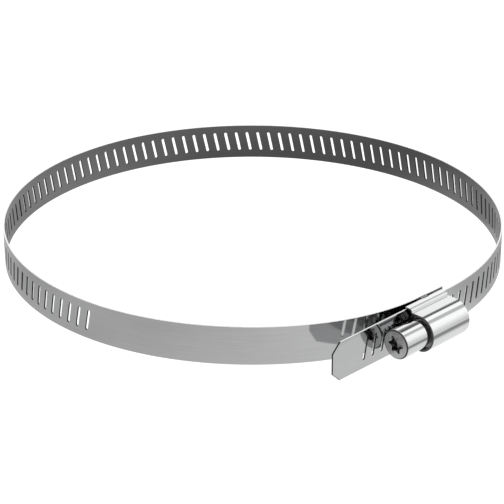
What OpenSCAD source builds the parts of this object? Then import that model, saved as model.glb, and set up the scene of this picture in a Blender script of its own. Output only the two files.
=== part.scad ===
// Worm-drive hose clamp, 12.7 mm band, open to a 162.8 mm bore.
// Origin on the axis of the bore at half the band's width, +Z along the hose.
// The housing sits on the -Y side, and the screw's axis runs along X, its head towards -X.

/* [Band] */
// Width of the band
band_w = 12.7; // [8:0.1:20]
// Thickness of the strip
band_t = 0.5; // [0.4:0.05:0.7]
// Radius of the bore: the largest rigid hose that the loop takes as it stands
bore_r = 81.4; // [75:0.1:90]
// How much more than the bore's radius the flatter arc on each side has
side_extra = 3.625; // [3.5:0.025:4]
// Length of the straight tail, measured from where the loop's curve ends
tail_len = 51.5; // [46:0.5:70]
// Corner cut at the tail's end, along the band
tail_cut_len = 3.2; // [1:0.1:5]
// Corner cut at the tail's end, across the band
tail_cut_w = 3; // [1:0.1:5]

/* [Slots] */
// Distance from one slot to the next, which is also the screw's lead
slot_pitch = 4; // [3.5:0.1:4.5]
// Number of slots
slot_count = 110; // [90:1:112]
// Length of a slot with its round ends
slot_len = 7.2; // [6:0.1:8]
// Width of a slot
slot_w = 1; // [0.9:0.05:1.3]
// Lean of the slots
slot_lean = 11.7; // [8:0.1:13]
// Place of the first slot on the tail, before the end of the loop's curve
first_slot = 37.1; // [36:0.1:38]

/* [Tongue] */
// How much tighter than the loop's front the tongue's arc is
tongue_less = 15.5; // [14:0.1:15.9]

/* [Housing] */
// Length along the screw
housing_len = 17.1; // [16:0.1:19]
// Outer radius of the crown over the screw
crown_r = 6; // [5.9:0.05:6.4]
// Sheet thickness of the crown
crown_t = 0.6; // [0.5:0.05:0.7]
// Half the width across the two flat flanks
flank_z = 5.9; // [5.65:0.05:5.95]
// Half the width across the two rims that hold the band's edges
rim_z = 7; // [6.95:0.05:7.3]
// Length of the two lugs that are welded to the tongue
lug_len = 3; // [2:0.5:6]

/* [Screw] */
// Radius of the thread's crest
crest_r = 5.1; // [5:0.05:5.2]
// Radius of the thread's root
root_r = 4.25; // [4:0.05:4.4]
// How far the crest reaches into the band
bite = 0.2; // [0.15:0.05:0.3]
// Radius of the head
head_r = 4.7; // [4.4:0.05:5]
// Length of the head
head_len = 9.6; // [8:0.1:11]
// Depth of the six-lobe recess
recess_depth = 3.2; // [2:0.1:4]
// Radius across the points of the six-lobe recess
recess_r = 2.8; // [2.5:0.05:3]

/* [Hidden] */
$fn = 96;
steel = [0.78, 0.79, 0.8];
eps = 0.01;
overlap = 0.2;
// How far a cutter runs past the face that it cuts
past = 1;

// The loop is a chain of arcs that meet tangentially. Angles run from the housing's side (0)
// over +X round the back (180), and each arc is [centre, inner radius, from, to], with the
// centre in the same terms as every other place here: [along the screw, out of the bore].
// The arcs meet at the corners of a 336-527-625 triangle, which keeps their centres on round
// numbers, so that neighbouring arcs share one face exactly.
corner_sin = 336 / 625;
corner_cos = 527 / 625;
corner = asin(corner_sin);
side_from = 90;
seat_from = 90 + corner;
side_r = bore_r + side_extra;
side_c = side_extra * [-corner_cos, corner_sin];
front_r = side_r - side_extra * corner_cos;
front_c = [0, side_extra * corner_sin];
// Inner face of the slotted band where it runs through the housing
channel_n = front_c[1] + front_r;
arcs = [
    [front_c, front_r, 0, side_from],
    [side_c, side_r, side_from, seat_from],
    [[0, 0], bore_r, seat_from, 360 - seat_from],
    [[-side_c[0], side_c[1]], side_r, 360 - seat_from, 360 - side_from],
    [front_c, front_r, 360 - side_from, 360 - corner]
];

// Tongue: one tighter arc that ends parallel to the screw, then a straight end
tongue_r = front_r - tongue_less;
tongue_c = front_c + tongue_less * [-corner_sin, corner_cos];
tongue_n = tongue_c[1] + tongue_r;
tongue_arc = [tongue_c, tongue_r, 360 - corner, 360];
tongue_end = 1.5;

// Arc lengths on the strip's middle plane, and the place at a given length of strip
function arc_len(arc) = (arc[1] + band_t / 2) * (arc[3] - arc[2]) * PI / 180;
function angle_at(len, i = 0) =
    len <= arc_len(arcs[i]) || i == len(arcs) - 1
    ? [i, arcs[i][2] + len / (arcs[i][1] + band_t / 2) * 180 / PI]
    : angle_at(len - arc_len(arcs[i]), i + 1);

// The band bends at two lines, each midway between two slots. The model lumps the bending
// of the whole strip there: one opposite the housing, one where the band enters it.
hinge_gap = 0.05;
entry_slots = 12;
entry_hinge = -first_slot + slot_pitch * (entry_slots + 0.5);
back_slots = 72;
back_hinge = -first_slot + slot_pitch * (back_slots + 0.5);
entry_angle = angle_at(entry_hinge)[1];
back_angle = angle_at(back_hinge)[1];
half_gap_entry = hinge_gap / 2 / (front_r + band_t / 2) * 180 / PI;
half_gap_back = hinge_gap / 2 / (bore_r + band_t / 2) * 180 / PI;

// Housing and screw, placed along the screw from the end of the loop's curve
far_end = -1.5;
mouth = far_end - housing_len;
band_top = channel_n + band_t;
axis_n = band_top - bite + crest_r;
rim_t = 0.5;
rim_bend_r = 0.45;
rim_drop = 2.8;
rim_top = axis_n - rim_drop;
rim_skirt = 0.05;
rim_low = channel_n - rim_skirt;
flank_t = 0.5;
mouth_depth = 1.6;
collar_at = mouth + mouth_depth;
collar_t = 0.7;
collar_clear = 0.4;
neck_r = 4.1;
run_gap = 0.1;
pilot_r = 2.5;
cap_t = 0.7;
lug_from = -10.5;
lug_t = 0.5;
lug_bend_r = 0.4;
lug_foot = 2.6;
head_gap = 0.9;
chamfer = 0.35;
head_face = mouth - head_gap - head_len;
head_back = head_face + head_len;
core_from = collar_at + collar_t + run_gap;
core_to = far_end - cap_t - run_gap;

// Places a profile drawn as (out of the bore, across the band) and runs it along the screw
module along_screw(from, to) {
    translate([from, 0, 0])
        rotate([90, 0, 90])
            linear_extrude(to - from)
                mirror([1, 0]) children();
}

module on_screw_axis(at) {
    translate([at, -axis_n, 0]) rotate([0, 90, 0]) children();
}

function direction(a) = [sin(a), -cos(a)];

// A stretch of one arc, less than half a turn long
module strip(arc, from, to) {
    reach = 100;
    translate([arc[0][0], -arc[0][1], -band_w / 2])
        linear_extrude(band_w)
            intersection() {
                difference() {
                    circle(arc[1] + band_t);
                    circle(arc[1]);
                }
                polygon([
                    [0, 0],
                    reach * direction(from),
                    reach * (direction(from) + direction(to)),
                    reach * direction(to)
                ]);
            }
}

// Every arc of the loop that lies between two angles
module loop(from, to) {
    for (arc = arcs)
        if (max(from, arc[2]) < min(to, arc[3]))
            strip(arc, max(from, arc[2]), min(to, arc[3]));
}

module slot_cutter() {
    half = (slot_len - slot_w) / 2;
    translate([-2 * past, 0, 0])
        rotate([0, 90, 0])
            linear_extrude(4 * past)
                rotate(-slot_lean) {
                    square([2 * half, slot_w], center = true);
                    for (end = [-half, half]) translate([end, 0]) circle(d = slot_w);
                }
}

// Slots first..last of the strip, counted from the tail
module slots(first, last) {
    for (k = [first:last]) {
        len = -first_slot + slot_pitch * k;
        place = angle_at(max(len, 0));
        arc = arcs[place[0]];
        if (len <= 0)
            translate([len, -band_top, 0]) rotate(-90) slot_cutter();
        else
            translate([arc[0][0], -arc[0][1], 0])
                rotate(place[1] - 90)
                    translate([arc[1], 0, 0]) slot_cutter();
    }
}

module band_fixed_half() {
    color(steel) {
        difference() {
            loop(back_angle + half_gap_back, 360 - corner);
            slots(back_slots + 1, slot_count - 1);
        }
        strip(tongue_arc, tongue_arc[2], tongue_arc[3]);
        translate([tongue_c[0], -tongue_c[1], -band_w / 2])
            translate([0, -tongue_r - band_t, 0]) cube([tongue_end - tongue_c[0], band_t, band_w]);
    }
}

module band_free_half() {
    color(steel)
        difference() {
            loop(entry_angle + half_gap_entry, back_angle - half_gap_back);
            slots(entry_slots + 1, back_slots);
        }
}

module band_tail() {
    color(steel)
        difference() {
            union() {
                strip(arcs[0], 0, entry_angle - half_gap_entry);
                translate([-tail_len, -front_c[1], 0])
                    translate([0, -front_r - band_t, 0])
                        rotate([-90, 0, 0]) linear_extrude(band_t)
                            polygon([
                                [tail_len, -band_w / 2],
                                [tail_cut_len, -band_w / 2],
                                [0, tail_cut_w - band_w / 2],
                                [0, band_w / 2 - tail_cut_w],
                                [tail_cut_len, band_w / 2],
                                [tail_len, band_w / 2]
                            ]);
            }
            slots(0, entry_slots);
        }
}

// Outline of the crown over the screw: round on top, with two flat flanks
module crown_outline(r, z) {
    intersection() {
        union() {
            translate([axis_n, 0]) circle(r);
            translate([rim_top - rim_t, -r]) square([axis_n - rim_top + rim_t, 2 * r]);
        }
        translate([rim_top - rim_t, -z]) square([axis_n + 2 * r - rim_top, 2 * z]);
    }
}

// Sheet that turns out from a flank and curls round the band's edge
module rim(low) {
    bend = rim_t + rim_bend_r;
    translate([rim_top - rim_t, flank_z - flank_t])
        square([rim_t, rim_z - bend - flank_z + flank_t]);
    translate([rim_top - bend, rim_z - bend])
        intersection() {
            difference() {
                circle(bend);
                circle(bend - rim_t);
            }
            square(bend);
        }
    translate([low, rim_z - rim_t]) square([rim_top - bend - low, rim_t]);
}

module lug() {
    bend = lug_t + lug_bend_r;
    foot_n = tongue_n + band_t;
    translate([foot_n + bend, rim_z - rim_t]) square([rim_low - foot_n - bend + eps, rim_t]);
    translate([foot_n + bend, rim_z - bend])
        intersection() {
            difference() {
                circle(bend);
                circle(bend - lug_t);
            }
            translate([-bend, 0]) square(bend);
        }
    translate([foot_n, lug_foot]) square([lug_t, rim_z - bend - lug_foot]);
}

// Wall across the inside of the crown, clear of the band, with a hole that guides the screw
module cross_wall(from, thickness, shaft_r) {
    difference() {
        along_screw(from, from + thickness)
            difference() {
                crown_outline(crown_r - crown_t / 2, flank_z - flank_t / 2);
                square([2 * (band_top + collar_clear), 2 * crown_r], center = true);
            }
        on_screw_axis(from - past) cylinder(r = shaft_r + run_gap, h = thickness + 2 * past);
    }
}

module housing() {
    color(steel) {
        along_screw(mouth, far_end) {
            difference() {
                crown_outline(crown_r, flank_z);
                crown_outline(crown_r - crown_t, flank_z - flank_t);
                translate([0, -flank_z + flank_t])
                    square([rim_top + eps, 2 * (flank_z - flank_t)]);
            }
            rim(rim_low);
            mirror([0, 1]) rim(rim_low);
        }
        along_screw(lug_from, lug_from + lug_len) {
            lug();
            mirror([0, 1]) lug();
        }
        cross_wall(collar_at, collar_t, neck_r);
        cross_wall(far_end - cap_t, cap_t, pilot_r);
    }
}

// Threaded shank: rings of points whose radius rises by the tooth's height on the helix. A
// ring is one angular step of the lead from the next, so the tooth's edges follow the facets.
thread_steps = 20;
ring_gap = slot_pitch / thread_steps;
ring_count = floor((core_to - core_from) / ring_gap);
plain_rings = 2;
fade_rings = 8;
root_half = 0.72;
crest_half = 0.2;
function fade(i) =
    max(0, min(1, (i - plain_rings) / fade_rings, (ring_count - plain_rings - i) / fade_rings));
function from_ridge(turns) = slot_pitch * abs(turns - round(turns));
function tooth(gap) = max(0, min(1, (root_half - gap) / (root_half - crest_half)));
function shank_point(i, j) =
    let (x = i == ring_count ? core_to : core_from + i * ring_gap,
         turn = j / thread_steps,
         high = tooth(from_ridge((x + first_slot) / slot_pitch - turn)) * fade(i),
         r = root_r + (crest_r - root_r) * high)
    [x, r * cos(360 * turn) - axis_n, r * sin(360 * turn)];
function at(i, j) = thread_steps * i + j % thread_steps;

module threaded_shank() {
    polyhedron(
        points = [for (i = [0:ring_count], j = [0:thread_steps - 1]) shank_point(i, j)],
        faces = concat(
            [[for (j = [0:thread_steps - 1]) at(0, j)]],
            [for (i = [0:ring_count - 1], j = [0:thread_steps - 1])
                [at(i, j), at(i + 1, j), at(i + 1, j + 1)]],
            [for (i = [0:ring_count - 1], j = [0:thread_steps - 1])
                [at(i, j), at(i + 1, j + 1), at(i, j + 1)]],
            [[for (j = [thread_steps - 1:-1:0]) at(ring_count, j)]]
        )
    );
}

// Six flutes cut into a circle leave the six lobes of the recess
module six_lobe(r) {
    flute_r = 0.43 * r;
    flute_at = 1.135 * r;
    difference() {
        circle(r);
        for (k = [0:5]) rotate(60 * k) translate([flute_at, 0]) circle(flute_r);
    }
}

module worm_screw() {
    color(steel) {
        difference() {
            union() {
                on_screw_axis(head_face) cylinder(r1 = head_r - chamfer, r2 = head_r, h = chamfer);
                on_screw_axis(head_face + chamfer) cylinder(r = head_r, h = head_len - chamfer);
            }
            on_screw_axis(head_face - past) linear_extrude(recess_depth + past) six_lobe(recess_r);
        }
        on_screw_axis(head_back - overlap) cylinder(r = neck_r, h = core_from - head_back + 2 * overlap);
        on_screw_axis(core_to - overlap) cylinder(r = pilot_r, h = far_end - core_to + overlap);
        threaded_shank();
    }
}

band_fixed_half();
band_free_half();
band_tail();
housing();
worm_screw();
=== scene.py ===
import math

import bpy
import numpy as np
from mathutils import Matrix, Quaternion, Vector


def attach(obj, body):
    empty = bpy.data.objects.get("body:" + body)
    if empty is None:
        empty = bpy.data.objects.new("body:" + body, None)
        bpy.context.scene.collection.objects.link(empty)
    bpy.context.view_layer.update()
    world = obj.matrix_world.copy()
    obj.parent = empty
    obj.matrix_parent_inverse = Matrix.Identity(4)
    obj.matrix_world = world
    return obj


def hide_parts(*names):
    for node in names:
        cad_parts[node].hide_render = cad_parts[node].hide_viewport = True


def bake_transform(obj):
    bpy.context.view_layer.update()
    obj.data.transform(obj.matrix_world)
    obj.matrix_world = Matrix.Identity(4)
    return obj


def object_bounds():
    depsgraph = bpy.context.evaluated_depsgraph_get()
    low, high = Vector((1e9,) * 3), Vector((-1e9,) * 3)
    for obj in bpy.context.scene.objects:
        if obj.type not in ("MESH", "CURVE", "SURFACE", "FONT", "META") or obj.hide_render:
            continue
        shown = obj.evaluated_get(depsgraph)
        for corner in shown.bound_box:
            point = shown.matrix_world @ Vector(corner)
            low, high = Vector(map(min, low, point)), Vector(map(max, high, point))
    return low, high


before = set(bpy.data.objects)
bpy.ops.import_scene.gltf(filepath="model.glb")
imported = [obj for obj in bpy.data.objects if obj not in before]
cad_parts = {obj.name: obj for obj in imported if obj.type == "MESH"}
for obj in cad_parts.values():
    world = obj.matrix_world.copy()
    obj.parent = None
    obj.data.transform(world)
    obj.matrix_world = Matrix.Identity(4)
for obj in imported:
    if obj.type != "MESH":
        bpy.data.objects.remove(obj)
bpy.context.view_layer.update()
MM = 0.001

# ---------------------------------------------------------------- sizes, as in the part's source
BAND_W, BAND_T = 12.7, 0.5
HALF_T = BAND_T / 2
BORE_R, SIDE_EXTRA = 81.4, 3.625
CORNER_SIN, CORNER_COS = 336 / 625, 527 / 625
CORNER = math.degrees(math.asin(CORNER_SIN))
SIDE_R = BORE_R + SIDE_EXTRA
FRONT_R = SIDE_R - SIDE_EXTRA * CORNER_COS
FRONT_N = SIDE_EXTRA * CORNER_SIN
TONGUE_LESS = 15.5
TONGUE_R = FRONT_R - TONGUE_LESS
TONGUE_S = -TONGUE_LESS * CORNER_SIN
TONGUE_N = FRONT_N + TONGUE_LESS * CORNER_COS
TONGUE_END = 1.5
TAIL, TAIL_CUT_LEN, TAIL_CUT_W = 51.5, 3.2, 3.0
PITCH, SLOTS, SLOT_LEN, SLOT_W, SLOT_LEAN = 4.0, 110, 7.2, 1.0, math.radians(11.7)
FIRST_SLOT = 37.1
BAND_TOP = FRONT_N + FRONT_R + BAND_T
CREST_R, ROOT_R, BITE = 5.1, 4.25, 0.2
AXIS_N = BAND_TOP - BITE + CREST_R
FAR_END, HOUSING_LEN = -1.5, 17.1
MOUTH = FAR_END - HOUSING_LEN
CROWN_R, CROWN_T, FLANK_Z, FLANK_T = 6.0, 0.6, 5.9, 0.5
RIM_Z, RIM_T, RIM_BEND_R, RIM_DROP, RIM_SKIRT = 7.0, 0.5, 0.45, 2.8, 0.05
RIM_TOP = AXIS_N - RIM_DROP
RIM_LOW = BAND_TOP - BAND_T - RIM_SKIRT
LUG_FROM, LUG_LEN, LUG_FOOT, LUG_T, LUG_BEND_R = -10.5, 3.0, 2.6, 0.5, 0.4
HEAD_R, HEAD_LEN, HEAD_GAP, CHAMFER = 4.7, 9.6, 0.9, 0.35
HEAD_FACE = MOUTH - HEAD_GAP - HEAD_LEN
HEAD_BACK = HEAD_FACE + HEAD_LEN
RECESS_R, RECESS_DEPTH = 2.8, 3.2
RUN_GAP, WALL_CLEAR = 0.1, 0.4
COLLAR_AT, COLLAR_T, NECK_R = MOUTH + 1.6, 0.7, 4.1
CAP_T, PILOT_R = 0.7, 2.5
CORE_FROM, CORE_TO = COLLAR_AT + COLLAR_T + RUN_GAP, FAR_END - CAP_T - RUN_GAP
ROOT_HALF, CREST_HALF = 0.72, 0.2

# ---------------------------------------------------------------- roundings of edges
STRIP_EDGE = 0.13  # the strip's rolled edges
SLOT_LIP = 0.07
SHEET_EDGE = 0.1  # the housing's cut edges
WALL_EDGE = 0.12  # the holes in the housing's two walls
RECESS_LIP = 0.12
CHAMFER_EDGE = 0.06  # the two edges of the head's chamfer
HEAD_BACK_R = 0.3
PILOT_EDGE = 0.3


# ---------------------------------------------------------------- meshes with exact normals
class Shell:
    """A mesh built point by point, each with its true normal. Points with one key are one point."""

    def __init__(self):
        self.points, self.normals, self.keys, self.faces, self.slots = [], [], {}, [], []

    def point(self, place, normal, key=None):
        if key is not None and key in self.keys:
            return self.keys[key]
        self.points.append(place)
        self.normals.append(normal)
        if key is not None:
            self.keys[key] = len(self.points) - 1
        return len(self.points) - 1

    def face(self, corners, slot=0):
        corners = [c for i, c in enumerate(corners) if c != corners[i - 1]]
        if len(corners) > 2:
            self.faces.append(corners)
            self.slots.append(slot)

    def grid(self, rows, slot=0, closed=False):
        """Quads between neighbouring rows of points."""
        for a, b in zip(rows, rows[1:]):
            for j in range(0 if closed else 1, len(a)):
                self.face([a[j - 1], a[j], b[j], b[j - 1]], slot)

    def fan(self, row, tip, slot):
        """Triangles from a closed row of points to one point."""
        for j in range(len(row)):
            self.face([row[j - 1], row[j], tip], slot)

    def make(self, name, materials):
        mesh = bpy.data.meshes.new(name)
        mesh.from_pydata([tuple(c * MM for c in p) for p in self.points], [], self.faces)
        for m in materials:
            mesh.materials.append(m)
        mesh.polygons.foreach_set("material_index", self.slots)
        mesh.polygons.foreach_set("use_smooth", [True] * len(mesh.polygons))
        mesh.update()
        normals = np.array(self.normals, float)
        normals /= np.maximum(np.linalg.norm(normals, axis=1), 1e-12)[:, None]
        # A face that turns its back on its own points' normals is turned round
        for p in mesh.polygons:
            if np.dot(np.array(p.normal), normals[list(p.vertices)].mean(0)) < 0:
                p.flip()
        mesh.update()
        mesh.normals_split_custom_set_from_vertices([tuple(n) for n in normals])
        obj = bpy.data.objects.new(name, mesh)
        bpy.context.scene.collection.objects.link(obj)
        return obj


def spread(start, end, count):
    """count + 1 values, evenly spaced from start to end."""
    return [start + (end - start) * i / count for i in range(count + 1)]


def quarter_turn(steps):
    return [math.radians(a) for a in spread(0, 90, steps)]


# ---------------------------------------------------------------- the strip's path
# Each arc: centre (along the screw, out of the bore), inner radius, from, to. Angles run from
# the housing's side over +X round the back.
ARCS = [
    ((0, FRONT_N), FRONT_R, 0, 90),
    ((-SIDE_EXTRA * CORNER_COS, FRONT_N), SIDE_R, 90, 90 + CORNER),
    ((0, 0), BORE_R, 90 + CORNER, 270 - CORNER),
    ((SIDE_EXTRA * CORNER_COS, FRONT_N), SIDE_R, 270 - CORNER, 270),
    ((0, FRONT_N), FRONT_R, 270, 360 - CORNER),
    ((TONGUE_S, TONGUE_N), TONGUE_R, 360 - CORNER, 360),
]


def arc_length(arc):
    return (arc[1] + HALF_T) * math.radians(arc[3] - arc[2])


STRIP_END = sum(arc_length(a) for a in ARCS) - TONGUE_S + TONGUE_END


def path(u):
    """The strip's middle at a length u past the end of its straight tail: its place in (x, y), and
    the directions along the strip and out of the bore."""
    if u <= 0:
        return (u, -(FRONT_N + FRONT_R + HALF_T)), (1, 0), (0, -1)
    for arc in ARCS:
        long = arc_length(arc)
        if u <= long:
            break
        u -= long
    else:
        return (TONGUE_S + u, -(TONGUE_N + TONGUE_R + HALF_T)), (1, 0), (0, -1)
    (s, n), r, start, _ = arc
    a = math.radians(start) + u / (r + HALF_T)
    out = (math.sin(a), -math.cos(a))
    place = (s + (r + HALF_T) * out[0], -n + (r + HALF_T) * out[1])
    return place, (math.cos(a), math.sin(a)), out


class Strip(Shell):
    """A stretch of the strip. Points are u along it, z across it and t out of its middle."""

    def at(self, u, z, t, normal):
        """normal: (along, across, out), in the strip's own directions."""
        place, along, out = path(u)
        return self.point(
            (place[0] + out[0] * t, place[1] + out[1] * t, z),
            (
                along[0] * normal[0] + out[0] * normal[2],
                along[1] * normal[0] + out[1] * normal[2],
                normal[1],
            ),
            (round(u, 4), round(z, 4), round(t, 4)),
        )

    def on_face(self, places, side):
        """A row of points on the outer face (side 1) or the inner one (-1)."""
        return [self.at(u, z, side * HALF_T, (0, 0, side)) for u, z in places]


# The third slot, PUNCHED_AND_SHADED, is rough sheared steel painted near-black: painted shade in the
# slots and on the cut ends.
ROLLED, EDGED_HIGHLIT, PUNCHED_AND_SHADED = 0, 1, 2
FACE_Z = BAND_W / 2 - STRIP_EDGE
ROWS = 12
EDGE_STEPS = 3
SIDES = (1, -1)


def across(half_width=FACE_Z):
    return [half_width * (2 * j / ROWS - 1) for j in range(ROWS + 1)]


# By default the edge takes the lighter edge steel: a painted highlight.
def wrap_edge(strip, stations, slot=EDGED_HIGHLIT):
    """The rounded edge between the two faces, along stations (u, z, direction in u, in z)."""
    turns = quarter_turn(EDGE_STEPS)
    rows = []
    for side in SIDES:
        for a in turns if side > 0 else reversed(turns):
            row = []
            for u, z, du, dz in stations:
                unit = math.hypot(du, dz)
                row.append(strip.at(
                    u + du * STRIP_EDGE * math.sin(a),
                    z + dz * STRIP_EDGE * math.sin(a),
                    side * (HALF_T - STRIP_EDGE + STRIP_EDGE * math.cos(a)),
                    (du / unit * math.sin(a), dz / unit * math.sin(a), side * math.cos(a)),
                ))
            rows.append(row)
    strip.grid(rows, slot)


def long_edges(strip, us):
    for side in SIDES:
        wrap_edge(strip, [(u, side * FACE_Z, 0, side) for u in us])


def plain_stretch(strip, start, end, step=1.0):
    us = spread(start, end, max(1, math.ceil((end - start) / step)))
    for side in SIDES:
        strip.grid([strip.on_face([(u, z) for z in across()], side) for u in us], ROLLED)
    long_edges(strip, us)


def slot_spokes(centre, us, zs):
    """From each point on a cell's outline, the nearest point of the slot's middle line and the
    direction back: (foot, way, (u, z))."""
    ring = (
        [(u, zs[0]) for u in us[:-1]]
        + [(us[-1], z) for z in zs[:-1]]
        + [(u, zs[-1]) for u in us[:0:-1]]
        + [(us[0], z) for z in zs[:0:-1]]
    )
    along = (math.sin(SLOT_LEAN), math.cos(SLOT_LEAN))
    reach = (SLOT_LEN - SLOT_W) / 2
    spokes = []
    for u, z in ring:
        d = (u - centre) * along[0] + z * along[1]
        d = max(-reach, min(reach, d))
        foot = (centre + d * along[0], d * along[1])
        gap = math.hypot(u - foot[0], z - foot[1])
        spokes.append((foot, ((u - foot[0]) / gap, (z - foot[1]) / gap), (u, z)))
    return spokes


def slotted_cell(strip, centre):
    """One pitch of the strip with its slot, whose lips are rounded."""
    columns = 4
    us = [centre - PITCH / 2 + PITCH * i / columns for i in range(columns + 1)]
    spokes = slot_spokes(centre, us, across())
    lip_edge = SLOT_W / 2 + SLOT_LIP
    walls = []
    for side in SIDES:
        rows = [strip.on_face([place for _, _, place in spokes], side)]
        # The face closes in on the slot: half way, then two rings close to its lip
        for mix, grow in ((0.5, 0.3), (1, 0.22), (1, 0)):
            places = []
            for foot, way, (u, z) in spokes:
                near = (foot[0] + way[0] * (lip_edge + grow), foot[1] + way[1] * (lip_edge + grow))
                places.append((u + (near[0] - u) * mix, z + (near[1] - z) * mix))
            rows.append(strip.on_face(places, side))
        strip.grid(rows, ROLLED, closed=True)
        # The slot's lips and walls are near-black: painted shade in the slot.
        lip = []
        for a in quarter_turn(2):
            d = SLOT_W / 2 + SLOT_LIP * (1 - math.sin(a))
            lip.append([
                strip.at(
                    foot[0] + way[0] * d,
                    foot[1] + way[1] * d,
                    side * (HALF_T - SLOT_LIP * (1 - math.cos(a))),
                    (-way[0] * math.sin(a), -way[1] * math.sin(a), side * math.cos(a)),
                )
                for foot, way, _ in spokes
            ])
        strip.grid(lip, PUNCHED_AND_SHADED, closed=True)
        walls.append(lip[-1])
    strip.grid(walls, PUNCHED_AND_SHADED, closed=True)
    long_edges(strip, us)


def turn_between(o0, o1, turn, share):
    """The unit direction at a share of the turn from o0 to o1."""
    a, b = math.sin((1 - share) * turn), math.sin(share * turn)
    return ((a * o0[0] + b * o1[0]) / math.sin(turn), (a * o0[1] + b * o1[1]) / math.sin(turn))


def end_stations(start, corners, towards, fillet=0.22):
    """Stations along the edge of a strip's end, (u, z, direction in u, in z), on the +z side, and
    how many of them come before the first corner."""
    outline = [(start, BAND_W / 2)] + corners + [(corners[-1][0], 0)]
    ways = []
    for (u0, z0), (u1, z1) in zip(outline, outline[1:]):
        d = math.hypot(u1 - u0, z1 - z0)
        way = ((u1 - u0) / d, (z1 - z0) / d)
        ways.append((way, (-towards * way[1], towards * way[0])))
    steps = max(1, math.ceil(abs(corners[0][0] - start)))
    stations = [(u, FACE_Z, 0, 1) for u in spread(start, corners[0][0], steps)[:-1]]
    for k, (cu, cz) in enumerate(corners):
        (w0, o0), (_, o1) = ways[k], ways[k + 1]
        turn = math.acos(max(-1, min(1, o0[0] * o1[0] + o0[1] * o1[1])))
        back = fillet * math.tan(turn / 2)
        centre = (cu - w0[0] * back - o0[0] * fillet, cz - w0[1] * back - o0[1] * fillet)
        inner = fillet - STRIP_EDGE
        for share in spread(0, 1, 4):
            o = turn_between(o0, o1, turn, share)
            stations.append((centre[0] + o[0] * inner, centre[1] + o[1] * inner, o[0], o[1]))
    return stations, steps


def rounded_end(strip, start, corners, towards):
    """The end of the strip. corners are its outline's corners on the +z side, (u, z), from the
    full width to the end's own corner; towards is -1 where the strip ends at a lower u."""
    stations, steps = end_stations(start, corners, towards)
    for side in SIDES:
        rows = [strip.on_face([(u, w) for w in across(z)], side) for u, z, _, _ in stations]
        strip.grid(rows, ROLLED)
    for side in SIDES:
        row = [(u, side * z, du, side * dz) for u, z, du, dz in stations]
        wrap_edge(strip, row[:steps + 1])
        # The end's corners and cut edge are near-black: painted shade.
        wrap_edge(strip, row[steps:], PUNCHED_AND_SHADED)
    u, z = stations[-1][:2]
    wrap_edge(strip, [(u, w, towards, 0) for w in across(z)], PUNCHED_AND_SHADED)


def slot_place(k):
    return -FIRST_SLOT + PITCH * k


# ---------------------------------------------------------------- shader nodes
def new_material(name):
    m = bpy.data.materials.new(name)
    m.use_nodes = True
    tree = m.node_tree
    return m, tree, tree.nodes["Principled BSDF"]


def node(tree, kind, **values):
    n = tree.nodes.new(kind)
    for k, v in values.items():
        setattr(n, k, v)
    return n


class Field:
    """A number that the shader works out at each point, so that a sum of them reads as one."""

    def __init__(self, tree, socket):
        self.tree, self.socket = tree, socket

    def made_by(self, n, *values):
        for i, v in enumerate(values):
            if isinstance(v, Field):
                self.tree.links.new(v.socket, n.inputs[i])
            else:
                n.inputs[i].default_value = v
        return Field(self.tree, n.outputs[0])

    def maths(self, operation, *values):
        return self.made_by(node(self.tree, "ShaderNodeMath", operation=operation), *values)

    def __add__(self, other):
        return self.maths("ADD", self, other)

    def __sub__(self, other):
        return self.maths("SUBTRACT", self, other)

    def __rsub__(self, other):
        return self.maths("SUBTRACT", other, self)

    def __mul__(self, other):
        return self.maths("MULTIPLY", self, other)

    def __truediv__(self, other):
        return self.maths("DIVIDE", self, other)

    def at_least(self, other):
        return self.maths("MAXIMUM", self, other)

    def size(self):
        return self.maths("ABSOLUTE", self)

    def length_with(self, other):
        return self.maths("SQRT", self * self + other * other)

    def step(self, start, end, low=0.0, high=1.0, curve="SMOOTHSTEP"):
        """low up to start, high from end on."""
        n = node(self.tree, "ShaderNodeMapRange", interpolation_type=curve)
        return self.made_by(n, self, start, end, low, high)

    def into(self, socket):
        self.tree.links.new(self.socket, socket)


def split_vector(tree, socket):
    n = node(tree, "ShaderNodeSeparateXYZ")
    tree.links.new(socket, n.inputs[0])
    return [Field(tree, o) for o in n.outputs]


# ---------------------------------------------------------------- materials
def streaks(tree, scale, detail, rough):
    """Noise in object coordinates, stretched by the scale in each direction."""
    place = node(tree, "ShaderNodeTexCoord")
    squeeze = node(tree, "ShaderNodeMapping")
    squeeze.inputs["Scale"].default_value = scale
    noise = node(tree, "ShaderNodeTexNoise")
    noise.inputs["Scale"].default_value = 1.0
    noise.inputs["Detail"].default_value = detail
    noise.inputs["Roughness"].default_value = rough
    tree.links.new(place.outputs["Object"], squeeze.inputs["Vector"])
    tree.links.new(squeeze.outputs["Vector"], noise.inputs["Vector"])
    return Field(tree, noise.outputs["Fac"])


def grey(v):
    """A grey with the faint blue of steel."""
    return (v, v * 1.004, v * 1.012, 1)


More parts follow.
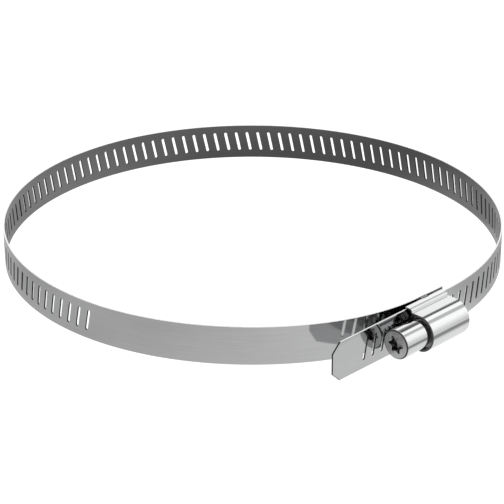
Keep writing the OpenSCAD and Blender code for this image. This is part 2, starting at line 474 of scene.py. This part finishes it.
def steel(name, tones, rough, grain, bump=0.02, metallic=1.0):
    """Bright steel: a fine grain, in tone, roughness and relief, and a slow change of tone.
    tones: its darkest and lightest grey. rough: its least and most roughness. grain: how fine the
    grain is along x, y and z, per metre."""
    m, tree, shader = new_material(name)
    shader.inputs["Metallic"].default_value = metallic
    shader.inputs["Specular IOR Level"].default_value = 0.1
    fine = streaks(tree, grain, 4.0, 0.65)
    slow = streaks(tree, (60, 60, 60), 2.0, 0.5)
    tone = node(tree, "ShaderNodeValToRGB")
    for element, at, v in zip(tone.color_ramp.elements, (0.3, 0.7), tones):
        element.position = at
        element.color = grey(v)
    (fine * 0.6 + slow * 0.4).into(tone.inputs["Fac"])
    tree.links.new(tone.outputs["Color"], shader.inputs["Base Color"])
    fine.step(0.3, 0.7, *rough, curve="LINEAR").into(shader.inputs["Roughness"])
    relief = node(tree, "ShaderNodeBump")
    relief.inputs["Strength"].default_value = bump
    relief.inputs["Distance"].default_value = 0.00002
    fine.into(relief.inputs["Height"])
    tree.links.new(relief.outputs["Normal"], shader.inputs["Normal"])
    return m


ALONG_BAND = (60, 60, 2600)
ALONG_SCREW = (120, 2600, 2600)
EVEN = (900, 900, 900)

BAND_LOOKS = [
    steel("BandRolledSteel", (0.47, 0.53), (0.05, 0.11), ALONG_BAND),
    # The rolled edges: the band's steel made lighter, a painted highlight along them.
    steel("BandEdgeHighlitSteel", (0.7, 0.85), (0.12, 0.25), (300, 300, 2600), 0.05),
    # The slot walls, slot lips and cut ends: rough sheared steel, painted near-black as shade.
    steel("BandPunchedShadedSteel", (0.01, 0.03), (0.4, 0.6), (2500, 2500, 200), 0.2, metallic=0.3),
]
HOUSING_LOOKS = [
    steel("HousingSteel", (0.68, 0.76), (0.05, 0.11), ALONG_SCREW),
    # The housing's inside, its lugs and the walls across it: the housing's steel made darker, painted
    # shade.
    steel("HousingInnerShadedSteel", (0.18, 0.26), (0.25, 0.4), (120, 1800, 1800), 0.05),
    # The housing's cut edges: rough cut steel, painted near-black as shade.
    steel("HousingCutShadedSteel", (0.06, 0.12), (0.35, 0.5), EVEN, 0.1, metallic=0.5),
]
SCREW_LOOKS = [
    steel("ScrewFaceSteel", (0.36, 0.46), (0.2, 0.32), EVEN, 0.08),
    steel("ScrewSteel", (0.66, 0.75), (0.05, 0.11), ALONG_SCREW),
    # The recess: the screw's steel made darker, painted shade in the hollow.
    steel("ScrewRecessShadedSteel", (0.2, 0.32), (0.15, 0.3), EVEN, 0.1),
    # The head's chamfer: near-black steel, a painted dark reflection.
    steel("ScrewChamferDarkReflectionSteel", (0.04, 0.08), (0.25, 0.4), EVEN, 0.1, metallic=0.4),
]

# ---------------------------------------------------------------- the band, in three stretches
RIGHT_SLOTS = 38  # the stretch by the tail has these, and ends well past the bend at the housing
TONGUE_TIP = 2.0  # length of the tongue's end, which has the rounded corners


def slotted_stretch(strip, first, last):
    for k in range(first, last):
        slotted_cell(strip, slot_place(k))


def tail_and_right_side():
    strip = Strip()
    corners = [(-TAIL + TAIL_CUT_LEN, BAND_W / 2), (-TAIL, BAND_W / 2 - TAIL_CUT_W)]
    rounded_end(strip, slot_place(-0.5), corners, -1)
    slotted_stretch(strip, 0, RIGHT_SLOTS)
    return strip.make("BandRightAndTail", BAND_LOOKS)


def back_of_loop():
    strip = Strip()
    slotted_stretch(strip, RIGHT_SLOTS, SLOTS)
    return strip.make("BandBack", BAND_LOOKS)


def front_and_tongue():
    strip = Strip()
    plain_stretch(strip, slot_place(SLOTS - 0.5), STRIP_END - TONGUE_TIP)
    rounded_end(strip, STRIP_END - TONGUE_TIP, [(STRIP_END, BAND_W / 2)], 1)
    return strip.make("BandFrontAndTongue", BAND_LOOKS)


right_band, back_band, front_band = tail_and_right_side(), back_of_loop(), front_and_tongue()
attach(front_band, "clamp_base")
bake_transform(back_band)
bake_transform(right_band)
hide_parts("band_fixed_half")
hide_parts("band_free_half")
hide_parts("band_tail")


# ---------------------------------------------------------------- the housing's pressed sheet
# SHADED_INSIDE and SHADED_CUT are darker copies of the housing's steel: painted shade.
OUTSIDE, SHADED_INSIDE, SHADED_CUT = 0, 1, 2


def arc_points(centre, r, start, end, count, thick, bent=1):
    """(place, normal, thickness) along an arc; bent is -1 where its outer side is the hollow one."""
    out = []
    for a in spread(start, end, count):
        way = (math.cos(math.radians(a)), math.sin(math.radians(a)))
        place = (centre[0] + r * way[0], centre[1] + r * way[1])
        out.append((place, (bent * way[0], bent * way[1]), thick))
    return out


def line_points(a, b, normal, count, thick):
    places = zip(spread(a[0], b[0], count), spread(a[1], b[1], count))
    return [(place, normal, thick) for place in places]


def chain(*parts):
    """The parts' points in one row, without the ones that repeat."""
    out = []
    for p in sum(parts, []):
        if not out or math.hypot(p[0][0] - out[-1][0][0], p[0][1] - out[-1][0][1]) > 1e-4:
            out.append(p)
    return out


def mirrored(profile):
    return [((n, -z), (nn, -nz), thick) for (n, z), (nn, nz), thick in profile]


def round_edge(thick, edge=SHEET_EDGE):
    """Points round a sheet's edge, from its outer side to its inner one: (depth, how far past,
    normal's share outwards, normal's share past)."""
    outer = [(edge * (1 - math.cos(a)), edge * math.sin(a), math.cos(a), math.sin(a))
             for a in quarter_turn(2)]
    return outer + [(thick - depth, past, -out, on) for depth, past, out, on in reversed(outer)]


def sheet(shell, profile, x0, x1, slots=(OUTSIDE, SHADED_INSIDE, SHADED_CUT), tag=""):
    """A sheet whose outer side follows the profile and which runs from x0 to x1. Its edges are
    rounded, and so are the ends where the profile starts and stops."""

    def place(p, x, depth, beyond, normal):
        """depth: in from the outer side. beyond: past the profile's end. normal: (x, out, along)."""
        (pn, pz), (nn, nz), _ = p
        n = pn - nn * depth - nz * beyond
        z = pz - nz * depth + nn * beyond
        vn, vz = nn * normal[1] - nz * normal[2], nz * normal[1] + nn * normal[2]
        key = (tag, round(x, 4), round(n, 4), round(z, 4))
        return shell.point((x, -n, z), (normal[0], -vn, vz), key)

    xs = spread(x0 + SHEET_EDGE, x1 - SHEET_EDGE, 6)
    # The inner side takes slots[1], by default the darker inner steel: painted shade.
    for inner in (0, 1):
        rows = [[place(p, x, inner * p[2], 0, (0, 1 - 2 * inner, 0)) for x in xs] for p in profile]
        shell.grid(rows, slots[inner])
    x_ends = ((xs[0], -1), (xs[-1], 1))
    # The rounded cut edges take slots[2], by default the near-black cut steel: painted shade.
    for end, way in x_ends:
        shell.grid([
            [place(p, end + way * past, depth, 0, (way * on, out, 0))
             for depth, past, out, on in round_edge(p[2])]
            for p in profile
        ], slots[2])
    for p, way in ((profile[0], -1), (profile[-1], 1)):
        shell.grid([
            [place(p, x, depth, way * past, (0, out, way * on)) for x in xs]
            for depth, past, out, on in round_edge(p[2])
        ], slots[2])
        for end, side in x_ends:
            shell.grid([
                [place(p, end + side * past * math.cos(b), depth, way * past * math.sin(b),
                       (side * on * math.cos(b), out, way * on * math.sin(b)))
                 for depth, past, out, on in round_edge(p[2])]
                for b in quarter_turn(2)
            ], slots[2])


def crown_profile():
    """The housing's outer side, from the +z rim's foot over the crown to the -z rim's foot."""
    curl_r = RIM_T + RIM_BEND_R
    curl_c = (RIM_TOP - curl_r, RIM_Z - curl_r)
    hollow = 0.14
    shoulder_r = 3.0
    lean = math.radians(0.8)
    thicken = 1.5
    # the shoulder's fillet touches the flank, which leans in a little, and lies inside the crown's circle
    foot = (RIM_TOP + hollow, FLANK_Z)
    along, out = (math.cos(lean), -math.sin(lean)), (math.sin(lean), math.cos(lean))
    base = (foot[0] - shoulder_r * out[0] - AXIS_N, foot[1] - shoulder_r * out[1])
    half_b = base[0] * along[0] + base[1] * along[1]
    inside = half_b ** 2 - base[0] ** 2 - base[1] ** 2 + (CROWN_R - shoulder_r) ** 2
    reach = -half_b + math.sqrt(inside)
    centre = (AXIS_N + base[0] + reach * along[0], base[1] + reach * along[1])
    turn = math.degrees(math.atan2(centre[1], centre[0] - AXIS_N))
    flank_end = (foot[0] + reach * along[0], foot[1] + reach * along[1])
    half = chain(
        line_points((RIM_LOW + SHEET_EDGE, RIM_Z), (curl_c[0], RIM_Z), (0, 1), 3, RIM_T),
        arc_points(curl_c, curl_r, 90, 0, 8, RIM_T),
        line_points((RIM_TOP, curl_c[1]), (RIM_TOP, FLANK_Z + hollow), (1, 0), 1, RIM_T),
        arc_points((RIM_TOP + hollow, FLANK_Z + hollow), hollow, 180, 270, 5, FLANK_T, -1),
        line_points(foot, flank_end, out, 5, FLANK_T),
        arc_points(centre, shoulder_r, 90 - math.degrees(lean), turn, 6, FLANK_T),
        arc_points((AXIS_N, 0), CROWN_R, turn, 0, 20, CROWN_T),
    )
    # the sheet thickens smoothly from the flank's thickness to the crown's
    blend = []
    for place, normal, thick in half:
        share = min(1, max(0, (place[0] - flank_end[0]) / thicken))
        if place[0] > RIM_TOP + hollow:
            thick = FLANK_T + (CROWN_T - FLANK_T) * share
        blend.append((place, normal, thick))
    return blend + mirrored(blend[-2::-1])


def lug_profile():
    """The +z lug's outer side, from inside the rim, round under the tongue to the lug's foot."""
    bend = LUG_T + LUG_BEND_R
    lap = 0.3
    under = TONGUE_N + TONGUE_R + BAND_T
    return chain(
        line_points((RIM_LOW + lap, RIM_Z), (under + bend, RIM_Z), (0, 1), 2, LUG_T),
        arc_points((under + bend, RIM_Z - bend), bend, 90, 180, 8, LUG_T),
        line_points((under, RIM_Z - bend), (under, LUG_FOOT + SHEET_EDGE), (-1, 0), 3, LUG_T),
    )


def wall_across(shell, x0, x1, hole_r, steps=72):
    """A wall across the crown's inside, clear of the band, with a round hole for the screw."""
    low = BAND_TOP + WALL_CLEAR
    spokes = []
    for i in range(steps):
        a = 2 * math.pi * i / steps
        way = (math.cos(a), math.sin(a))
        reach = CROWN_R - CROWN_T / 2
        if abs(way[1]) > 1e-9:
            reach = min(reach, (FLANK_Z - FLANK_T / 2) / abs(way[1]))
        if way[0] < -1e-9:
            reach = min(reach, (low - AXIS_N) / way[0])
        spokes.append((way, reach))

    def ring(x, radii, nx, nr):
        return [
            shell.point((x, -(AXIS_N + w[0] * r), w[1] * r), (nx, w[0] * nr, -w[1] * nr))
            for (w, _), r in zip(spokes, radii)
        ]

    rim_r = hole_r + WALL_EDGE
    mouths = []
    for x, out in ((x0, -1), (x1, 1)):
        rows = [
            ring(x, [reach for _, reach in spokes], out, 0),
            ring(x, [(reach + rim_r) / 2 for _, reach in spokes], out, 0),
            ring(x, [rim_r] * steps, out, 0),
        ]
        for a in quarter_turn(2)[1:]:
            r = hole_r + WALL_EDGE * (1 - math.sin(a))
            in_x = x - out * WALL_EDGE * (1 - math.cos(a))
            rows.append(ring(in_x, [r] * steps, out * math.cos(a), math.sin(a)))
        # The wall's faces and hole take the darker inner steel: painted shade.
        shell.grid(rows, SHADED_INSIDE, closed=True)
        mouths.append(rows[-1])
    shell.grid(mouths, SHADED_INSIDE, closed=True)


def housing_shell():
    shell = Shell()
    # The lugs beneath the housing take the darker inner steel all over: painted shade.
    lug_shaded_looks = (SHADED_INSIDE, SHADED_INSIDE, SHADED_INSIDE)
    set_in = 0.02
    sheet(shell, crown_profile(), MOUTH, FAR_END, tag="crown")
    for name, profile in (("upper", lug_profile()), ("lower", mirrored(lug_profile()))):
        sheet(shell, profile, LUG_FROM, LUG_FROM + LUG_LEN, slots=lug_shaded_looks, tag=name)
    wall_across(shell, COLLAR_AT, COLLAR_AT + COLLAR_T, NECK_R + RUN_GAP)
    wall_across(shell, FAR_END - CAP_T, FAR_END - set_in, PILOT_R + RUN_GAP)
    return shell.make("HousingShell", HOUSING_LOOKS)


housing_piece = housing_shell()
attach(housing_piece, "clamp_base")
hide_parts("housing")


# ---------------------------------------------------------------- the worm screw
# SHADED_HOLE and DARK_REFLECTION_CHAMFER take darker steel: painted shade in the recess, a painted dark
# reflection on the chamfer.
FACE, SIDE, SHADED_HOLE, DARK_REFLECTION_CHAMFER = 0, 1, 2, 3
COUNT = 144
ANGLES = [2 * math.pi * i / COUNT for i in range(COUNT)]


def recess_radius(a):
    """Outline of the six-lobe recess, a lobe at angle 0, its corners rounded."""
    flute_r = 0.43 * RECESS_R
    flute_at = 1.135 * RECESS_R
    soft = 0.16
    sixth = math.pi / 3
    off = sixth / 2 - abs((a + sixth / 2) % sixth - sixth / 2)
    under = flute_r ** 2 - (flute_at * math.sin(off)) ** 2
    if under <= 0:
        return RECESS_R
    r = flute_at * math.cos(off) - math.sqrt(under)
    gap = RECESS_R - r
    return r - 0.5 * (math.hypot(gap, soft) - gap)


def lobe_normal(a):
    """Inward normal of the recess's wall, as (along the radius, round the axis)."""
    h = 0.01
    slope = (recess_radius(a + h) - recess_radius(a - h)) / (2 * h) / recess_radius(a)
    size = math.hypot(1, slope)
    return -1 / size, slope / size


class Turned(Shell):
    """A piece on the screw's axis. Angles round it run from straight out of the bore."""

    def on_axis(self, x, r, a, nx, nr, nt=0.0):
        """normal: along x, along the radius and round the axis."""
        ny = -(nr * math.cos(a) - nt * math.sin(a))
        nz = nr * math.sin(a) + nt * math.cos(a)
        return self.point((x, -AXIS_N - r * math.cos(a), r * math.sin(a)), (nx, ny, nz))

    def ring(self, x, r, nx, nr):
        return [self.on_axis(x, r, a, nx, nr) for a in ANGLES]

    def lobed_ring(self, x, nx, nr, share=1.0, grow=0.0):
        """A ring of the recess's outline, times share and bigger by grow."""
        return [self.on_axis(x, recess_radius(a) * share + grow, a, nx, nr) for a in ANGLES]

    def recess_wall(self, x):
        return [self.on_axis(x, recess_radius(a), a, 0.0, *lobe_normal(a)) for a in ANGLES]

    def band_of_rings(self, rings, slot=SIDE):
        """A surface through rings, each (x, r, normal along x, normal out)."""
        self.grid([self.ring(*r) for r in rings], slot, closed=True)


def head_front(screw):
    """The head's flat face, and the recess in it with its rounded lip and conical bottom."""
    rim_r = HEAD_R - CHAMFER
    flat = screw.ring(HEAD_FACE, rim_r - CHAMFER_EDGE, -1, 0)
    inner = screw.lobed_ring(HEAD_FACE, -1, 0, grow=RECESS_LIP)
    middle = screw.lobed_ring(HEAD_FACE, -1, 0, share=0.5, grow=(RECESS_LIP + rim_r) / 2)
    screw.grid([flat, middle, inner], FACE, closed=True)
    lip = [inner]
    for t in quarter_turn(2)[1:]:
        x, grow = HEAD_FACE + RECESS_LIP * (1 - math.cos(t)), RECESS_LIP * (1 - math.sin(t))
        lip.append(screw.lobed_ring(x, -math.cos(t), -math.sin(t), grow=grow))
    screw.grid(lip, FACE, closed=True)
    cone, cone_normal = 0.6, (-0.94, -0.34)
    bottom = HEAD_FACE + RECESS_DEPTH
    # The recess's wall and conical bottom are darker: painted shade in the recess.
    wall = [screw.recess_wall(x) for x in (HEAD_FACE + RECESS_LIP, HEAD_FACE + 1.2, bottom - cone)]
    screw.grid(wall, SHADED_HOLE, closed=True)
    floor = [screw.recess_wall(bottom - cone)]
    for share in (0.85, 0.5, 0.2):
        floor.append(screw.lobed_ring(bottom - cone * share, *cone_normal, share=share))
    screw.grid(floor, SHADED_HOLE, closed=True)
    screw.fan(floor[-1], screw.point((bottom, -AXIS_N, 0), (-1, 0, 0)), SHADED_HOLE)


def head_side(screw):
    """The head's chamfer, its side, its rounded back edge and the neck."""
    rim_r = HEAD_R - CHAMFER
    side_from = HEAD_FACE + CHAMFER + 0.12
    chamfer = [screw.ring(*r) for r in (
        (HEAD_FACE, rim_r - CHAMFER_EDGE, -1, 0),
        (HEAD_FACE + 0.03, rim_r, -0.8, 0.6),
        (HEAD_FACE + 0.08, rim_r + CHAMFER_EDGE, -0.707, 0.707),
        (HEAD_FACE + CHAMFER - CHAMFER_EDGE, HEAD_R - 0.05, -0.707, 0.707),
        (HEAD_FACE + CHAMFER + 0.02, HEAD_R - 0.01, -0.25, 0.97),
        (side_from, HEAD_R, 0, 1),
    )]
    # The chamfer's rings take the near-black steel: a painted dark reflection.
    screw.grid(chamfer[:5], DARK_REFLECTION_CHAMFER, closed=True)
    screw.grid(chamfer[4:], SIDE, closed=True)
    rings = [(x, HEAD_R, 0, 1) for x in spread(side_from, HEAD_BACK - HEAD_BACK_R, 6)]
    for t in quarter_turn(3)[1:]:
        x = HEAD_BACK - HEAD_BACK_R * (1 - math.sin(t))
        rings.append((x, HEAD_R - HEAD_BACK_R * (1 - math.cos(t)), math.sin(t), math.cos(t)))
    screw.band_of_rings(rings)
    screw.band_of_rings([(HEAD_BACK, HEAD_R - HEAD_BACK_R, 1, 0), (HEAD_BACK, NECK_R, 1, 0)])
    screw.band_of_rings([(HEAD_BACK, NECK_R, 0, 1), (CORE_FROM, NECK_R, 0, 1)])


THREAD_COUNT = 96
THREAD_GAP = 0.125
FADE_START, FADE_LEN = 0.4, 1.6


def thread_radius(x, turn):
    """Radius of the shank at a share of a turn from +Y towards +Z, as in the part's source."""
    gap = (x + FIRST_SLOT) / PITCH - turn
    gap = PITCH * abs(gap - round(gap))
    high = max(0.0, min(1.0, (ROOT_HALF - gap) / (ROOT_HALF - CREST_HALF)))
    high = high * high * (3 - 2 * high)
    near_end = min(x - CORE_FROM, CORE_TO - x) - FADE_START
    fade = max(0.0, min(1.0, near_end / FADE_LEN))
    return ROOT_R + (CREST_R - ROOT_R) * high * fade


def shank(screw):
    """The thread: rings whose radius rises on the helix, with the true slope as their normal."""
    dx, dt = 0.02, 0.002
    rows = []
    for x in spread(CORE_FROM, CORE_TO, int((CORE_TO - CORE_FROM) / THREAD_GAP)):
        row = []
        for j in range(THREAD_COUNT):
            turn = j / THREAD_COUNT
            a = 2 * math.pi * turn
            r = thread_radius(x, turn)
            along = (thread_radius(x + dx, turn) - thread_radius(x - dx, turn)) / (2 * dx)
            rise = thread_radius(x, turn + dt) - thread_radius(x, turn - dt)
            round_axis = rise / (2 * dt * 2 * math.pi * r)
            ny = math.cos(a) + round_axis * math.sin(a)
            nz = math.sin(a) - round_axis * math.cos(a)
            row.append(screw.point((x, r * math.cos(a) - AXIS_N, r * math.sin(a)), (-along, ny, nz)))
        rows.append(row)
    screw.grid(rows, SIDE, closed=True)
    screw.band_of_rings([(CORE_FROM, NECK_R, -1, 0), (CORE_FROM, ROOT_R, -1, 0)])


def pilot(screw):
    """The plain end that turns in the far wall's hole, with its edge rounded."""
    screw.band_of_rings([(CORE_TO, ROOT_R, 1, 0), (CORE_TO, PILOT_R, 1, 0)])
    rings = [screw.ring(*r) for r in (
        (CORE_TO, PILOT_R, 0, 1),
        (FAR_END - PILOT_EDGE, PILOT_R, 0, 1),
        (FAR_END - 0.22, PILOT_R - 0.03, 0.4, 0.92),
        (FAR_END - 0.03, PILOT_R - 0.22, 0.9, 0.43),
        (FAR_END, PILOT_R - PILOT_EDGE, 1, 0),
        (FAR_END, PILOT_R / 2, 1, 0),
    )]
    screw.grid(rings, SIDE, closed=True)
    screw.fan(rings[-1], screw.point((FAR_END, -AXIS_N, 0), (1, 0, 0)), SIDE)


def worm_screw():
    screw = Turned()
    head_front(screw)
    head_side(screw)
    shank(screw)
    pilot(screw)
    return screw.make("WormScrewTurned", SCREW_LOOKS)


screw_piece = worm_screw()
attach(screw_piece, "screw")
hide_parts("worm_screw")


# ---------------------------------------------------------------- stage and light, in metres
FLOOR_GAP, CARDS_GAP = 0.0002, 0.0001  # how far below the clamp the floor and the cards lie


def plane(name, height):
    bpy.ops.mesh.primitive_plane_add(size=30, location=(0, 0, height))
    p = bpy.context.object
    p.name = name
    return p


def pale_floor(height):
    ground = plane("Ground", height)
    m, _, shader = new_material("PaleFloor")
    shader.inputs["Base Color"].default_value = (0.35, 0.35, 0.35, 1)
    shader.inputs["Roughness"].default_value = 0.9
    shader.inputs["Specular IOR Level"].default_value = 0.0
    shader.inputs["Emission Color"].default_value = (1, 1, 1, 1)
    shader.inputs["Emission Strength"].default_value = 0.85
    ground.data.materials.append(m)


def glow_in_loop(x, y):
    """A dark card inside the loop, darkest towards +X and +Y."""
    return x.step(0.06, -0.02, 0.135, 0.36) + y.step(0.02, -0.03, 0.0, 0.19)


def glow_outside(x, y):
    """Bright cards round the loop, brightest in front of the screw and darker on the +X and +Y
    sides, with a dark strip close beside the screw."""
    far = (x + 0.012).length_with(y + 0.110)
    glow = far.step(0.03, 0.13, 0.92, 0.66) + far.step(0.15, 0.3, 0.0, 0.26)
    glow = glow - y.step(0.01, 0.05, 0.0, 0.14)
    glow = glow - x.step(0.012, 0.035) * y.step(-0.108, -0.098, 0.0, 0.27)
    beside = y.step(-0.099, -0.107) * y.step(-0.134, -0.109) * x.size().step(0.05, 0.03)
    return glow * (1.0 - beside * 0.68)


def cards(height):
    """Cards on the table, which only reflections see, laid out as a photographer does to draw
    bright metal. How much they glow depends on the place on the table."""
    table = plane("Cards", height)
    for ray in ("camera", "diffuse", "transmission", "volume_scatter", "shadow"):
        setattr(table, "visible_" + ray, False)
    m, tree, shader = new_material("Cards")
    tree.nodes.remove(shader)
    x, y, _ = split_vector(tree, node(tree, "ShaderNodeNewGeometry").outputs["Position"])
    outside = x.length_with(y).step(0.0812, 0.0816)
    glow = node(tree, "ShaderNodeEmission")
    total = glow_outside(x, y) * outside + glow_in_loop(x, y) * (1.0 - outside)
    total.into(glow.inputs["Strength"])
    tree.links.new(glow.outputs[0], tree.nodes["Material Output"].inputs["Surface"])
    table.data.materials.append(m)


def white_tent():
    """A white tent, brighter overhead. As the photograph sees it, a dark gap runs behind the clamp
    and round its left, 24 to 48 degrees up, and a narrow grey seam is on its right, above 27."""
    world = bpy.data.worlds.new("Studio")
    bpy.context.scene.world = world
    world.use_nodes = True
    tree = world.node_tree
    x, y, z = split_vector(tree, node(tree, "ShaderNodeTexCoord").outputs["Generated"])
    level = x.length_with(y).at_least(0.001)

    def around(degrees, outer, inner):
        """0 further than outer degrees round the horizon from a bearing, 1 nearer than inner."""
        a = math.radians(degrees)
        cosine = (x * math.cos(a) + y * math.sin(a)) / level
        return cosine.step(math.cos(math.radians(outer)), math.cos(math.radians(inner)))

    gap = z.step(0.4, 0.66) * z.step(0.745, 0.72) * around(112, 107, 99)
    seam = z.step(0.45, 0.58) * around(-22, 11, 3.5)
    light = z.step(0.0, 0.4, 0.92, 1.32) - gap * 1.17 - seam * 0.7
    background = tree.nodes["Background"]
    background.inputs["Color"].default_value = (1, 1, 1, 1)
    light.into(background.inputs["Strength"])


def camera_as_photographed():
    lens = bpy.data.cameras.new("Camera")
    lens.sensor_width = 36
    lens.lens = 140.88
    lens.clip_start, lens.clip_end = 0.01, 50
    camera = bpy.data.objects.new("Camera", lens)
    bpy.context.scene.collection.objects.link(camera)
    camera.location = (-0.43074, -0.42361, 0.27152)
    heading, down, roll = math.atan2(0.70026, 0.71389), math.radians(24.824), math.radians(-0.18)
    level = math.cos(down)
    aim = Vector((math.cos(heading) * level, math.sin(heading) * level, -math.sin(down)))
    camera.rotation_mode = "QUATERNION"
    camera.rotation_quaternion = Quaternion(-aim, roll) @ aim.to_track_quat("-Z", "Y")
    return camera


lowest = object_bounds()[0].z
pale_floor(lowest - FLOOR_GAP)
cards(lowest - CARDS_GAP)
white_tent()
bpy.context.scene.camera = camera_as_photographed()
bpy.context.scene.view_settings.view_transform = "Standard"
